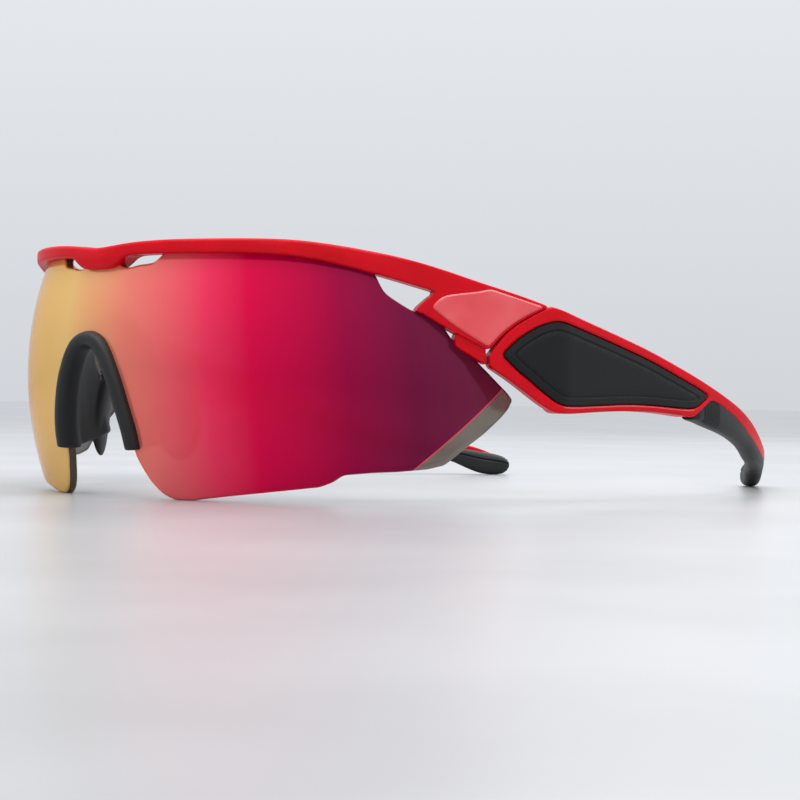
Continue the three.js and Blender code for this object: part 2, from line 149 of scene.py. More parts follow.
lens_of_camera = bpy.data.cameras.new("camera")
lens_of_camera.lens = FOCAL_MM
lens_of_camera.shift_y = SHIFT_UP
lens_of_camera.clip_start = 0.01
camera = object_from("camera", lens_of_camera)
camera.location = EYE
camera.rotation_mode = "QUATERNION"
ahead = Vector((-math.sin(EYE_YAW), math.cos(EYE_YAW), 0))
camera.rotation_quaternion = ahead.to_track_quat("-Z", "Y") @ Quaternion((0, 0, 1), EYE_ROLL)
bpy.context.scene.camera = camera


# ---- shield lens --------------------------------------------------------------------------------
# One injection-moulded polycarbonate shield, 2 mm thick, curved both ways. Its front is mirror
# coated; its gold to plum sweep is painted reflection colour, the coating's angle-dependent tint
# fixed by place on the lens. The tail corners below the coating line are bare smoke grey.
LENS_RADIUS, LENS_UP_RADIUS, LENS_WAIST, LENS_LEAN, LENS_THICK = 62.9, 71.5, 18.5, -0.128, 2.0
LENS_HALF = [  # degrees from the middle, lower edge, upper edge
    (0, 32.1, 47.4), (2.8, 31.2, 47.4), (4.3, 29.4, 47.4), (5.5, 27.2, 47.4), (6.2, 25.6, 46.6),
    (7.3, 22.9, 46.5), (8.7, 17.6, 46.5), (9.6, 13.7, 46.7), (9.9, 9.5, 46.8), (11.2, 6.2, 47.0),
    (12.6, 3.4, 47.1), (14.3, 1.4, 47.3), (15.8, 0.5, 48.4), (17.2, 0, 50.2), (20.6, 0, 50.2),
    (28.8, 1.1, 50.2), (37, 2.1, 50.2), (46, 3.2, 49.5), (48.5, 4.2, 49.0), (50.5, 5.6, 48.6),
    (55.7, 6.1, 47.6), (60.2, 6.3, 46.4), (60.6, 6.3, 43.7), (61.6, 6.4, 41.5),
    (64.2, 6.6, 39.6), (66.4, 6.8, 38.2), (69.9, 7.6, 37.6), (72.4, 9.5, 35.6),
    (73.1, 10.1, 33.4), (75.5, 11.8, 31.1), (78.5, 13.8, 28.4), (82.9, 17.2, 24.0),
    (85.1, 19.2, 22.0),
    (85.6, 20.2, 21.2),
]
LENS_ROWS = [0, 0.006, 0.02] + [k / 22 for k in range(1, 22)] + [0.98, 0.994, 1]
# Painted reflection colour: the coating's tint, which turns with viewing angle, fixed by place
# round the lens.
COATING_AND_PAINTED_REFLECTION = [  # degrees from the middle, colour
    (-86, "#A9781F"), (-52, "#C08C28"), (-37, "#DDAA3C"), (-25, "#FDD068"), (-8, "#FFD184"),
    (9, "#FF8A78"), (18, "#FF6A70"), (27, "#FF3360"), (35, "#EA0048"), (46, "#C80042"),
    (53, "#A20040"), (65, "#760A3E"), (72, "#741540"), (86, "#822346"),
]
COATING_ENDS = (63.9, 6.7), (84.0, 23.1)  # degrees and height of its lower rear edge
COATING_RIM, BARE_SMOKE = "#F0566A", "#8C867E"

pin_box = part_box("hinge_screw_left")
PATH = [  # the frame's plan path from the middle: length, radius
    (58.6 * math.radians(52.8), 58.6), (42.5, 0), (8.6 * math.radians(37.2), 8.6), (37.0, 0),
    (100 * math.radians(60), 100),
]
PIN_ALONG, PIN_INSIDE = 95.5, -8.0


def beside_path(along, out):
    """Plan point, in mm from the front, `along` the frame's outer face and `out` from it."""
    x, y, heading, left = 0.0, 0.5, 0.0, abs(along)
    for length, radius in PATH:
        part = min(left, length)
        if radius:
            turn = part / radius
            x += radius * (math.sin(heading + turn) - math.sin(heading))
            y += radius * (math.cos(heading) - math.cos(heading + turn))
            heading += turn
        else:
            x += part * math.cos(heading)
            y += part * math.sin(heading)
        left -= part
        if left <= 0:
            break
    x += out * math.sin(heading)
    y -= out * math.cos(heading)
    return (-x if along < 0 else x), y


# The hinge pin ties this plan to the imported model's own frame.
BACK_MM = (pin_box[0][1] + pin_box[1][1]) * 500 - beside_path(PIN_ALONG, PIN_INSIDE)[1]


def on_lens(degrees, z, out):
    sag = LENS_UP_RADIUS - math.sqrt(LENS_UP_RADIUS ** 2 - (z - LENS_WAIST) ** 2)
    radius = LENS_RADIUS - sag + out
    centre = LENS_RADIUS + LENS_LEAN * (z - LENS_WAIST)
    a = math.radians(degrees)
    y = centre - radius * math.cos(a) + BACK_MM
    return Vector((radius * math.sin(a), y, z)) / 1000


def smooth_mesh(name, bm, materials, sharp=38):
    """A smooth-shaded mesh object from bm, with edges sharper than `sharp` degrees kept crisp."""
    bmesh.ops.recalc_face_normals(bm, faces=bm.faces)
    mesh = bpy.data.meshes.new(name)
    bm.to_mesh(mesh)
    bm.free()
    mesh.polygons.foreach_set("use_smooth", [True] * len(mesh.polygons))
    mesh.set_sharp_from_angle(angle=math.radians(sharp))
    for finish in materials:
        mesh.materials.append(finish)
    made = object_from(name, mesh)
    made.modifiers.new("even_shading", "WEIGHTED_NORMAL").keep_sharp = True
    return made


def mirror_list(half):
    """A half list of stations completed on the negative side of its first one."""
    return [(-row[0], *row[1:]) for row in half[:0:-1]] + list(half)


def eased(stations, step, reach):
    """Stations every `step`, with each value averaged over `reach` so that corners are rounded."""
    rows = np.array(stations, float)
    places = np.arange(rows[0, 0], rows[-1, 0] + step / 2, step)
    places[-1] = rows[-1, 0]
    spread = np.linspace(-reach, reach, 7)
    ends = np.minimum(places - rows[0, 0], rows[-1, 0] - places).clip(0, reach) / reach
    near = places[:, None] + spread * ends[:, None]
    columns = [np.interp(near, rows[:, 0], rows[:, k]).mean(1) for k in range(1, rows.shape[1])]
    return list(zip(places.tolist(), *(c.tolist() for c in columns)))


def mirror_coated_polycarbonate(tree):
    """The dichroic coating's gold to plum sweep round the lens is painted reflection colour: its
    tint as it turns with viewing angle, fixed by place. It has a hard lower rear edge;
    hard-coat gloss, and some of the light comes through."""
    here = add(tree, "SeparateXYZ", Vector=add(tree, "TexCoord").outputs["Object"])
    centre = add(tree, "Math", {"operation": "MULTIPLY_ADD"}, _0=here.outputs["Z"], _1=LENS_LEAN,
                 _2=(LENS_RADIUS - LENS_LEAN * LENS_WAIST + BACK_MM) / 1000)
    depth = add(tree, "Math", {"operation": "SUBTRACT"}, _0=centre.outputs[0],
                _1=here.outputs["Y"])
    sweep = add(tree, "Math", {"operation": "ARCTAN2"}, _0=here.outputs["X"],
                _1=depth.outputs[0]).outputs[0]
    place = add(tree, "MapRange", Value=sweep, From_Min=math.radians(COATING_AND_PAINTED_REFLECTION[0][0]),
                From_Max=math.radians(COATING_AND_PAINTED_REFLECTION[-1][0]))
    span = COATING_AND_PAINTED_REFLECTION[-1][0] - COATING_AND_PAINTED_REFLECTION[0][0]
    stops = [((a - COATING_AND_PAINTED_REFLECTION[0][0]) / span, colour) for a, colour in COATING_AND_PAINTED_REFLECTION]
    colours = add(tree, "ValToRGB", stops=stops, Fac=place.outputs[0]).outputs[0]
    (a0, z0), (a1, z1) = COATING_ENDS
    rise = (z1 - z0) / (a1 - a0)
    away = add(tree, "Math", {"operation": "ABSOLUTE"}, _0=sweep).outputs[0]
    edge = add(tree, "Math", {"operation": "MULTIPLY_ADD"}, _0=away,
               _1=rise * math.degrees(1), _2=z0 - rise * a0)
    height = add(tree, "Math", {"operation": "MULTIPLY"}, _0=here.outputs["Z"], _1=1000.0)
    above = add(tree, "Math", {"operation": "SUBTRACT"}, _0=height.outputs[0],
                _1=edge.outputs[0]).outputs[0]
    bare = add(tree, "Math", {"operation": "LESS_THAN"}, _0=above, _1=0.0).outputs[0]
    rim = add(tree, "Math", {"operation": "LESS_THAN"}, _0=above, _1=0.35).outputs[0]
    rimmed = add(tree, "Mix", {"data_type": "RGBA"}, _0=rim, _6=colours, _7=linear(COATING_RIM))
    colour = add(tree, "Mix", {"data_type": "RGBA"}, _0=bare, _6=rimmed.outputs[2],
                 _7=linear(BARE_SMOKE))
    clear = add(tree, "MapRange", Value=bare, To_Min=0.3, To_Max=0.7)
    return {
        "Base_Color": colour.outputs[2],
        "Transmission_Weight": clear.outputs[0],
        "Metallic": 0.3,
        "Roughness": 0.14,
        "IOR": 1.585,
        "Specular_IOR_Level": 0.12,
        "Specular_Tint": linear("#F0B090"),
    }


def smoke_polycarbonate(tree):
    """Moulded lens body seen from behind and on its rims: clear smoke grey, highly polished."""
    here = add(tree, "TexCoord").outputs["Object"]
    flow = add(tree, "TexNoise", Vector=here, Scale=1 / 0.03, Detail=2.0)
    return {
        "Base_Color": add(tree, "ValToRGB", stops=[(0.3, "#5B5550"), (0.7, "#676059")],
                          Fac=flow.outputs[0]).outputs[0],
        "Transmission_Weight": 0.85,
        "Roughness": 0.05,
        "IOR": 1.585,
    }


def lens_body():
    bm = bmesh.new()
    columns = eased(mirror_list(LENS_HALF), 0.5, 0.55)
    sheets = []
    for front in (True, False):
        sheet = []
        for degrees, low, high in columns:
            column = []
            for share in LENS_ROWS:
                z = low + (high - low) * share
                rim = min(share, 1 - share) * (high - low)
                relief = 0.3 * (1 - min(1, rim / 0.35)) ** 2
                out = -relief if front else relief - LENS_THICK
                column.append(bm.verts.new(on_lens(degrees, z, out)))
            sheet.append(column)
        sheets.append(sheet)
        for left, right in zip(sheet, sheet[1:]):
            for k in range(len(LENS_ROWS) - 1):
                face = bm.faces.new((left[k], right[k], right[k + 1], left[k + 1]))
                face.material_index = 0 if front else 1
    face, back = (s[0][::-1] + [c[0] for c in s[1:-1]] + s[-1] + [c[-1] for c in s[-2:0:-1]]
                  for s in sheets)
    for k in range(len(face)):
        bm.faces.new((face[k], face[k - 1], back[k - 1], back[k])).material_index = 1
    return bm


shield = smooth_mesh("shield_lens_moulding", lens_body(), [
    finish_material("mirror_coated_polycarbonate", mirror_coated_polycarbonate),
    finish_material("smoke_polycarbonate", smoke_polycarbonate),
])
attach(shield, "front")
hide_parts("shield_lens")


# ---- brow frame ---------------------------------------------------------------------------------
# The arched front bar with its two end plates is one glossy red nylon moulding. The lens edge
# seats in its underside and in a lug below each end plate, and a flat polished facet fills most
# of the plate; its paler red is a painted highlight of the studio light.
BROW_THICK = 5.4
BROW_HALF = [  # distance, height and, at a tight corner, the length its curve takes
    (0, 46.2), (4.2, 46.3), (6.4, 47.3), (8.6, 48.8), (12, 49.0), (24, 49.1), (40, 48.9),
    (47, 48.3), (53, 47.2), (61.9, 45.2), (73.9, 41.9, 1.2), (72.7, 41.1, 0.7),
    (70.2, 38.9, 0.7), (69.8, 38.0, 0.5), (71.0, 37.7, 0.8), (77.6, 33.9), (84.5, 30.5, 0.9),
    (88.5, 34.8, 4), (92.5, 37.3, 4), (96.8, 39.4, 0.9), (90.6, 41.6), (82.5, 44.0),
    (74.5, 46.6), (66.5, 48.7), (58, 50.2), (53, 50.9), (47, 51.6), (40, 51.9), (24, 51.9),
    (17, 51.8), (10, 51.5), (4, 50.9), (0, 50.6),
]
FACET = [
    (72.9, 38.9, 0.8), (74.8, 40.9, 1.2), (77.0, 41.5), (82.6, 42.1), (84.6, 42.7, 1.0),
    (95.6, 39.3, 0.6), (92.0, 37.65), (87.9, 35.0), (84.4, 31.3, 0.6), (78.1, 34.9),
]
FACET_HIGH = 0.25
LUG = [(77.7, 34.5), (77.8, 31.3, 0.8), (84.2, 27.6, 0.3), (84.15, 30.3), (83.6, 33.0)]
LUG_OUTSIDE, LUG_INSIDE = -0.7, -5.2


def on_frame(along, z, out):
    x, y = beside_path(along, out)
    return Vector((x, y + BACK_MM, z)) / 1000


def outlined(points, step):
    """A closed outline, evenly spaced, with each corner replaced by a curve."""
    smooth = []
    for k, (x, y, *reach) in enumerate(points):
        here, before = Vector((x, y)), Vector(points[k - 1][:2])
        after = Vector(points[(k + 1) % len(points)][:2])
        most = reach[0] if reach else 1e3
        start = here + (before - here) * min(0.5, most / (before - here).length)
        end = here + (after - here) * min(0.5, most / (after - here).length)
        for t in (0, 0.2, 0.4, 0.6, 0.8, 1):
            smooth.append(start * (1 - t) ** 2 + here * (2 * t * (1 - t)) + end * t * t)
    line = np.array([tuple(p) for p in smooth + smooth[:1]])
    run = np.concatenate([[0], np.cumsum(np.linalg.norm(np.diff(line, axis=0), axis=1))])
    places = np.linspace(0, run[-1], round(run[-1] / step), endpoint=False)
    even = np.stack([np.interp(places, run, line[:, k]) for k in (0, 1)], 1)
    area = np.sum(even[:, 0] * np.roll(even[:, 1], -1) - np.roll(even[:, 0], -1) * even[:, 1])
    return even if area > 0 else even[::-1].copy()


def inset(outline, by):
    """The same outline moved inwards, by one distance or by one for each point."""
    way = np.roll(outline, -1, 0) - np.roll(outline, 1, 0)
    way /= np.linalg.norm(way, axis=1)[:, None]
    return outline + np.reshape(by, (-1, 1)) * np.stack([-way[:, 1], way[:, 0]], 1)


def on_side(points, side):
    """The outline's points on the wearer's left (1) or right (-1)."""
    return [(row[0] * side, *row[1:]) for row in points]


def within(points, outline):
    """Which points lie inside the outline."""
    x, y = points[:, 0][:, None], points[:, 1][:, None]
    x0, y0 = outline.T
    x1, y1 = np.roll(outline, -1, 0).T
    crosses = (y0 > y) != (y1 > y)
    slope = (x1 - x0) / np.where(y1 == y0, 1e-9, y1 - y0)
    return (crosses & (x < x0 + (y - y0) * slope)).sum(1) % 2 == 1


def margin(points, outline):
    """How far each point is from the outline."""
    return np.linalg.norm(points[:, None] - outline[None], axis=2).min(1)


def fill(bm, loops, place, lift, grid):
    """Fills the first loop with triangles that follow the others, over extra points `grid` apart.
    A loop is (outline, its vertices); lift(points) gives the outward distances of new points."""
    edge = loops[0][0]
    low, high = edge.min(0), edge.max(0)
    across = np.arange(low[0], high[0], grid)
    rows = np.arange(low[1], high[1], grid * 0.866)
    free = np.array([(x + (k % 2) * grid / 2, y) for k, y in enumerate(rows) for x in across])
    free = free[within(free, edge)]
    for outline, _ in loops:
        free = free[margin(free, outline) > grid * 0.55]
    flat = [Vector(p) for outline, _ in loops for p in outline] + [Vector(p) for p in free]
    edges, start = [], 0
    for outline, _ in loops:
        size = len(outline)
        edges += [(start + k, start + (k + 1) % size) for k in range(size)]
        start += size
    known = [v for _, verts in loops for v in verts]
    points, _, faces, sources, _, _ = delaunay_2d_cdt(flat, edges, [], 1, 1e-6)
    places = np.array([tuple(p) for p in points])
    outs = lift(places)
    corners = []
    for k, source in enumerate(sources):
        old = [s for s in source if s < start]
        corners.append(known[old[0]] if old else bm.verts.new(place(*places[k], outs[k])))
    return [(bm.faces.new([corners[k] for k in f]), places[list(f)].mean(0)) for f in faces]


def bridge(bm, first, second):
    """Quads between two loops of as many vertices."""
    return [bm.faces.new((first[k - 1], first[k], second[k], second[k - 1]))
            for k in range(len(first))]


def loop_verts(bm, outline, place, out):
    outs = out if hasattr(out, "__len__") else [out] * len(outline)
    return [bm.verts.new(place(x, z, o)) for (x, z), o in zip(outline, outs)]


def plate(outline, front, back, edge=0.7, grid=1.2, relief=(), marked=False):
    """A moulding between two faces with rounded rims. front and back turn (points, distance
    from the rim) into outward distances. relief holds (outline, how far out) for the front, from
    the outside inwards, and marked gives what is inside it the second finish."""
    bm = bmesh.new()
    turns = [math.radians(a) for a in (0, 22, 45, 67, 90)]
    edge = np.broadcast_to(edge, len(outline))
    last = {}
    walls = []
    for side, face in ((1, front), (-1, back)):
        rings = []
        for a in turns:
            ring = inset(outline, edge * (1 - math.cos(a)))
            level = face(ring, edge)
            outs = level - side * edge * (1 - math.sin(a))
            rings.append(loop_verts(bm, ring, on_frame, outs))
            last[side] = (ring, rings[-1])
        for one, two in zip(rings, rings[1:]):
            bridge(bm, one, two)
        walls.append(rings[0])
    bridge(bm, walls[0], walls[1])
    for side, face in ((1, front), (-1, back)):
        rim = last[side][0]
        loops = [last[side]]

        def lift(points, face=face, rim=rim, side=side):
            over = np.zeros(len(points))
            for contour, up in relief if side > 0 else ():
                over[within(points, inset(contour, -0.01))] = up
            return face(points, margin(points, rim) + edge.mean()) + over

        if side > 0:
            for contour, _ in relief:
                loops.append((contour, loop_verts(bm, contour, on_frame, lift(contour))))
        made = fill(bm, loops, on_frame, lift, grid)
        if side > 0 and marked:
            inside = within(np.array([m for _, m in made]), relief[0][0])
            for (f, _), second in zip(made, inside):
                f.material_index = int(second)
    return bm


def glossy_red_nylon(tree):
    """Tough nylon moulded in a polished tool and lacquered: deep even red, a barely visible flow
    mottle, and gloss from the lacquer alone, with a faint orange peel about 1 mm across."""
    here = add(tree, "TexCoord").outputs["Object"]
    flow = add(tree, "TexNoise", Vector=here, Scale=1 / 0.012, Detail=3.0)
    peel = add(tree, "TexNoise", Vector=here, Scale=1 / 0.001, Detail=2.0)
    bump = add(tree, "Bump", Height=peel.outputs[0], Strength=0.05, Distance=0.00005)
    rough = add(tree, "MapRange", Value=flow.outputs[0], To_Min=0.16, To_Max=0.26)
    return {
        "Base_Color": add(tree, "ValToRGB", stops=[(0.3, "#CB0416"), (0.7, "#DA051D")],
                          Fac=flow.outputs[0]).outputs[0],
        "Roughness": rough.outputs[0],
        "Normal": bump.outputs[0],
        "IOR": 1.53,
        "Specular_IOR_Level": 0.0,
        "Coat_Weight": 0.3,
        "Coat_Roughness": 0.08,
    }


def facet_painted_highlight_red(tree):
    """The same nylon on the flat facet, painted a paler, softer red: a painted highlight of the
    studio light on it.
    """
    here = add(tree, "TexCoord").outputs["Object"]
    cloud = add(tree, "TexNoise", Vector=here, Scale=1 / 0.009, Detail=2.0)
    return {
        "Base_Color": add(tree, "ValToRGB", stops=[(0.3, "#E6444C"), (0.7, "#EE5F61")],
                          Fac=cloud.outputs[0]).outputs[0],
        "Roughness": 0.22,
        "IOR": 1.53,
        "Coat_Weight": 0.3,
        "Coat_Roughness": 0.08,
    }


RED = finish_material("glossy_red_nylon", glossy_red_nylon)
# The facet's paler red is a painted highlight of the studio light on its flat face.
FACET_PAINTED_HIGHLIGHT = finish_material("facet_painted_highlight_red", facet_painted_highlight_red)


def brow_front(points, rim):
    """The bar's face is crowned across its height; the end plates flatten out."""
    bar = np.clip((66 - np.abs(points[:, 0])) / 12, 0, 1)
    return -0.55 * bar * (1 - np.minimum(1, rim / 1.6)) ** 2


brow_line = outlined(BROW_HALF + on_side(BROW_HALF[-2:0:-1], -1), 0.6)
brow_rim = np.interp(np.abs(brow_line[:, 0]), (60, 70), (0.75, 0.4))
facet_line = outlined(FACET, 0.5)
brow_body = plate(
    brow_line, brow_front, lambda p, rim: np.full(len(p), -BROW_THICK), edge=brow_rim, grid=1.3,
    relief=[(facet_line, 0), (inset(facet_line, 0.3), FACET_HIGH)], marked=True)
for side in (1, -1):
    lug = plate(
        outlined(on_side(LUG, side), 0.5),
        lambda p, rim: np.full(len(p), LUG_OUTSIDE), lambda p, rim: np.full(len(p), LUG_INSIDE),
        edge=0.35, grid=1.3)
    lug_mesh = bpy.data.meshes.new("end_plate_lug")
    lug.to_mesh(lug_mesh)
    brow_body.from_mesh(lug_mesh)
    bpy.data.meshes.remove(lug_mesh)
brow = smooth_mesh("brow_frame_moulding", brow_body, [RED, FACET_PAINTED_HIGHLIGHT])
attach(brow, "front")
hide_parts("brow_frame")


# ---- temple arms --------------------------------------------------------------------------------
# Each arm is the same red nylon: a deep hollowed front that carries the rubber panel, and a thin
# spine that runs on over the ear tip. It is wrapped round the head at the rear.
ARM_LOW = [
    (84.5, 29.4, 0.4), (84.8, 27.2, 0.5), (88.9, 24.6), (92.9, 21.6), (95.0, 20.0), (97.3, 18.6),
    (99.4, 18.1), (103.4, 18.1), (111.3, 18.5), (119.5, 18.7), (127.7, 18.6), (135, 18.2),
    (143.9, 17.4, 1.0), (146.2, 18.6), (150.9, 21.0, 0.7), (153.1, 20.9), (160, 18.6),
    (165.8, 16.4), (175, 12.5), (184.5, 9.2), (190, 7.9), (196, 7.0), (204, 6.3), (212, 5.6),
    (217, 4.6), (221, 3.3), (223.4, 2.4, 0.8),
]
ARM_HIGH = [
    (86.4, 32.1), (88.5, 34.5), (90.6, 36.0), (92.7, 37.25), (94.9, 38.5), (97.1, 39.45, 0.4),
    (99.2, 39.0), (103.4, 37.8), (111.3, 35.8), (119.5, 33.7), (127.7, 31.5), (135, 29.2),
    (143.9, 26.3), (153.1, 23.4), (160, 21.3), (165.8, 19.6), (175, 16.5), (184.5, 12.9),
    (190, 11.1), (196, 9.8), (204, 9.0), (212, 8.3), (217, 6.9), (221, 5.1),
    (223.6, 3.9, 0.8),
]
PANEL_LOW = [
    (87.3, 29.7, 0.9), (90.7, 26.4), (92.9, 24.8), (94.8, 23.1), (97.8, 20.8), (99.6, 20.0),
    (101.8, 19.6), (111.2, 19.9), (119.5, 20.2), (127.8, 20.1), (134.9, 19.7), (142.8, 19.2),
    (145.8, 19.9),
]
PANEL_HIGH = [
    (90.4, 32.8), (92.9, 34.4), (94.8, 35.5), (97.8, 36.4), (99.6, 36.4), (101.8, 35.9),
    (111.2, 33.6), (119.5, 31.5), (127.8, 29.3), (134.9, 27.0), (142.8, 24.4), (145.8, 23.5),
    (149.8, 22.0, 0.9),
]
POCKET_ROOM, POCKET_LIP, POCKET_DEEP = 0.25, 0.3, 1.5
ARM_THICK, SPINE_THICK, SPINE_FROM, SPINE_TO = 5.0, 2.3, 143.9, 153.1
SIDES = (("left", 1), ("right", -1))


def sided(low, high, side, step):
    """The outline between a lower and an upper edge, on the wearer's left or right."""
    return outlined(on_side(low + high[::-1], side), step)


def kick(along):
    """The tail of the arm flares outwards a little past its wrap round the head."""
    return 1.25 * np.clip((np.abs(along) - 200) / 22, 0, 1.1) ** 1.6


def arm_inside(points, rim):
    share = np.clip((np.abs(points[:, 0]) - SPINE_FROM) / (SPINE_TO - SPINE_FROM), 0, 1)
    share = share * share * (3 - 2 * share)
    return share * (ARM_THICK - SPINE_THICK) - ARM_THICK + kick(points[:, 0])


def arm_outside(points, rim):
    return kick(points[:, 0]) - 0.15 * (1 - np.minimum(1, rim / 1.2)) ** 2


for side_name, side in SIDES:
    pocket = inset(sided(PANEL_LOW, PANEL_HIGH, side, 0.6), -POCKET_ROOM)
    arm = smooth_mesh(f"temple_arm_{side_name}_moulding", plate(
        sided(ARM_LOW, ARM_HIGH, side, 0.6), arm_outside, arm_inside, edge=0.5, grid=1.3,
        relief=[(inset(pocket, -POCKET_LIP), 0), (pocket, -0.25),
                (inset(pocket, 0.08), -POCKET_DEEP)],
    ), [RED])
    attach(arm, f"temple_{side_name}")
    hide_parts(f"temple_arm_{side_name}")


# ---- temple panels ------------------------------------------------------------------------------
# A soft rubber panel is pressed into the pocket in each arm. Its face swells slightly, and one
# fine moulded groove runs all round inside the rim.
PANEL_FACE, PANEL_BACK = 0.12, -1.2
GROOVE_AT, GROOVE_HALF, GROOVE_DEEP = 1.75, 0.4, 0.26


def panel_face(points, rim):
    return PANEL_FACE - 0.35 * (1 - np.minimum(1, rim / 2.5)) ** 2


def shrunk(outline, by):
    """The outline moved far inwards, and cut short wherever it would cross itself."""
    moved = inset(outline, by)
    return outlined(moved[margin(moved, outline) > by * 0.97], 0.45)


def insert_rubber(tree):
    """Compression-moulded rubber with a fine spark-eroded grain, about 0.4 mm, and a dull sheen
    where it has been handled."""
    here = add(tree, "TexCoord").outputs["Object"]
    grain = add(tree, "TexNoise", Vector=here, Scale=1 / 0.0004, Detail=2.0)
    wear = add(tree, "TexNoise", Vector=here, Scale=1 / 0.015, Detail=3.0)
    bump = add(tree, "Bump", Height=grain.outputs[0], Strength=0.25, Distance=0.00006)
    rough = add(tree, "MapRange", Value=wear.outputs[0], To_Min=0.5, To_Max=0.68)
    return {
        "Base_Color": add(tree, "ValToRGB", stops=[(0.3, "#0F1011"), (0.7, "#161718")],
                          Fac=wear.outputs[0]).outputs[0],
        "Roughness": rough.outputs[0],
        "Normal": bump.outputs[0],
        "IOR": 1.52,
        "Specular_IOR_Level": 0.25,
    }


PANEL_RUBBER = finish_material("insert_rubber", insert_rubber)
for side_name, side in SIDES:
    panel_line = sided(PANEL_LOW, PANEL_HIGH, side, 0.45)
    panel = smooth_mesh(f"temple_panel_{side_name}", plate(
        panel_line, panel_face, lambda p, rim: np.full(len(p), PANEL_BACK), edge=0.4, grid=1.1,
        relief=[(shrunk(panel_line, GROOVE_AT - GROOVE_HALF), 0),
                (shrunk(panel_line, GROOVE_AT), -GROOVE_DEEP),
                (shrunk(panel_line, GROOVE_AT + GROOVE_HALF), 0)]), [PANEL_RUBBER])
    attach(panel, f"temple_{side_name}")
    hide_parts(f"temple_insert_{side_name}")


# ---- inner covers -------------------------------------------------------------------------------
# A thin black nylon strip closes the hollow in each arm's inner face. It clips flush and has
# shallow grip ribs across it.
COVER_LOW = [(115.6, 20.8, 0.8), (119.5, 20.7), (127.8, 20.5), (135, 20.1), (141.8, 19.8, 0.8)]
COVER_HIGH = [(115.6, 31.3, 0.8), (119.5, 31.1), (127.8, 28.9), (135, 26.6), (141.8, 24.2, 0.8)]
COVER_RIB = 2.4


def cover_inside(points, rim):
    ribs = 0.5 + 0.5 * np.cos(points[:, 0] * 2 * math.pi / COVER_RIB)
    return -4.98 - 0.1 * ribs * np.clip((rim - 1.2) / 0.8, 0, 1)


def black_nylon(tree):
    """Glass-filled nylon from a textured tool: near black, matt, with a 0.3 mm sparkle of grain."""
    here = add(tree, "TexCoord").outputs["Object"]
    grain = add(tree, "TexNoise", Vector=here, Scale=1 / 0.0003, Detail=2.0)
    bump = add(tree, "Bump", Height=grain.outputs[0], Strength=0.2, Distance=0.00005)
    return {
        "Base_Color": add(tree, "ValToRGB", stops=[(0.3, "#111213"), (0.7, "#1B1C1D")],
                          Fac=grain.outputs[0]).outputs[0],
        "Roughness": 0.45,
        "Normal": bump.outputs[0],
        "IOR": 1.53,
    }


BLACK_NYLON = finish_material("black_nylon", black_nylon)
for side_name, side in SIDES:
    cover = smooth_mesh(f"temple_cover_{side_name}", plate(
        sided(COVER_LOW, COVER_HIGH, side, 0.5), lambda p, rim: np.full(len(p), -4.4),
        cover_inside, edge=0.25, grid=0.5), [BLACK_NYLON])
    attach(cover, f"temple_{side_name}")
    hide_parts(f"temple_inner_cover_{side_name}")


# ---- ear tips -----------------------------------------------------------------------------------
# Soft rubber is moulded under each spine: a fat rounded sleeve that ends in a drooping foot, with
# six grip ribs at its front and a parting groove along its inner face.
EAR_TIP = [  # distance, lower edge, upper edge
    (144.8, 16.9, 18.2), (146.2, 16.6, 19.3), (148.6, 16.1, 21.0), (151, 15.5, 22.2),
    (153.5, 15.0, 22.3), (160, 13.8, 20.2), (165.8, 12.6, 18.6), (175, 10.3, 15.6),
    (184.5, 7.3, 11.4), (190, 6.3, 9.5), (196, 5.5, 8.2), (204, 4.5, 7.5), (209, 3.4, 7.2),
    (213, 1.6, 6.9), (216, 0.5, 6.4), (218.5, 0.05, 6.0), (221.7, 0.05, 5.4), (223.7, 0.6, 4.6),
    (224.4, 1.5, 3.9), (224.6, 2.2, 3.2),
]
TIP_OUTSIDE, TIP_INSIDE = -0.15, -4.6
TIP_ROUND = 2 / 2.9  # below 1 the section is squarer than an ellipse
RIBS_FROM, RIBS_TO, RIB_PITCH, RIB_HIGH = 147.6, 154.8, 1.2, 0.28
TIP_SIDES = 56


def ear_tip_body(side):
    bm = bmesh.new()
    rings = []
    for q, low, high in eased(EAR_TIP, 0.4, 1.0):
        end = min(1, (225.0 - q) / 3.2, (q - 144.2) / 2.4)
        slim = math.sqrt(max(0.05, 1 - (1 - end) ** 2))
        middle, half = (low + high) / 2, (high - low) / 2
        across = (TIP_OUTSIDE + TIP_INSIDE) / 2 + kick(q)
        thick = (TIP_OUTSIDE - TIP_INSIDE) / 2 * slim
        ring = []
        for k in range(TIP_SIDES):
            a = 2 * math.pi * k / TIP_SIDES
            up = math.copysign(abs(math.sin(a)) ** TIP_ROUND, math.sin(a))
            over = math.copysign(abs(math.cos(a)) ** TIP_ROUND, math.cos(a))
            relief = 0
            if RIBS_FROM < q < RIBS_TO and over > 0.6 and abs(up) < 0.85:
                turn = (q - RIBS_FROM) * 2 * math.pi / RIB_PITCH
                relief = -RIB_HIGH * (0.5 - 0.5 * math.cos(turn))
            if over < 0 and q > 158:
                relief = 0.35 * max(0, 1 - abs(up - 0.35) / 0.12)
            ring.append(bm.verts.new(on_frame(
                side * q, middle + half * up, across + thick * over + relief)))
        rings.append(ring)
    for one, two in zip(rings, rings[1:]):
        bridge(bm, one, two)
    bm.faces.new(rings[0])
    bm.faces.new(rings[-1])
    return bm


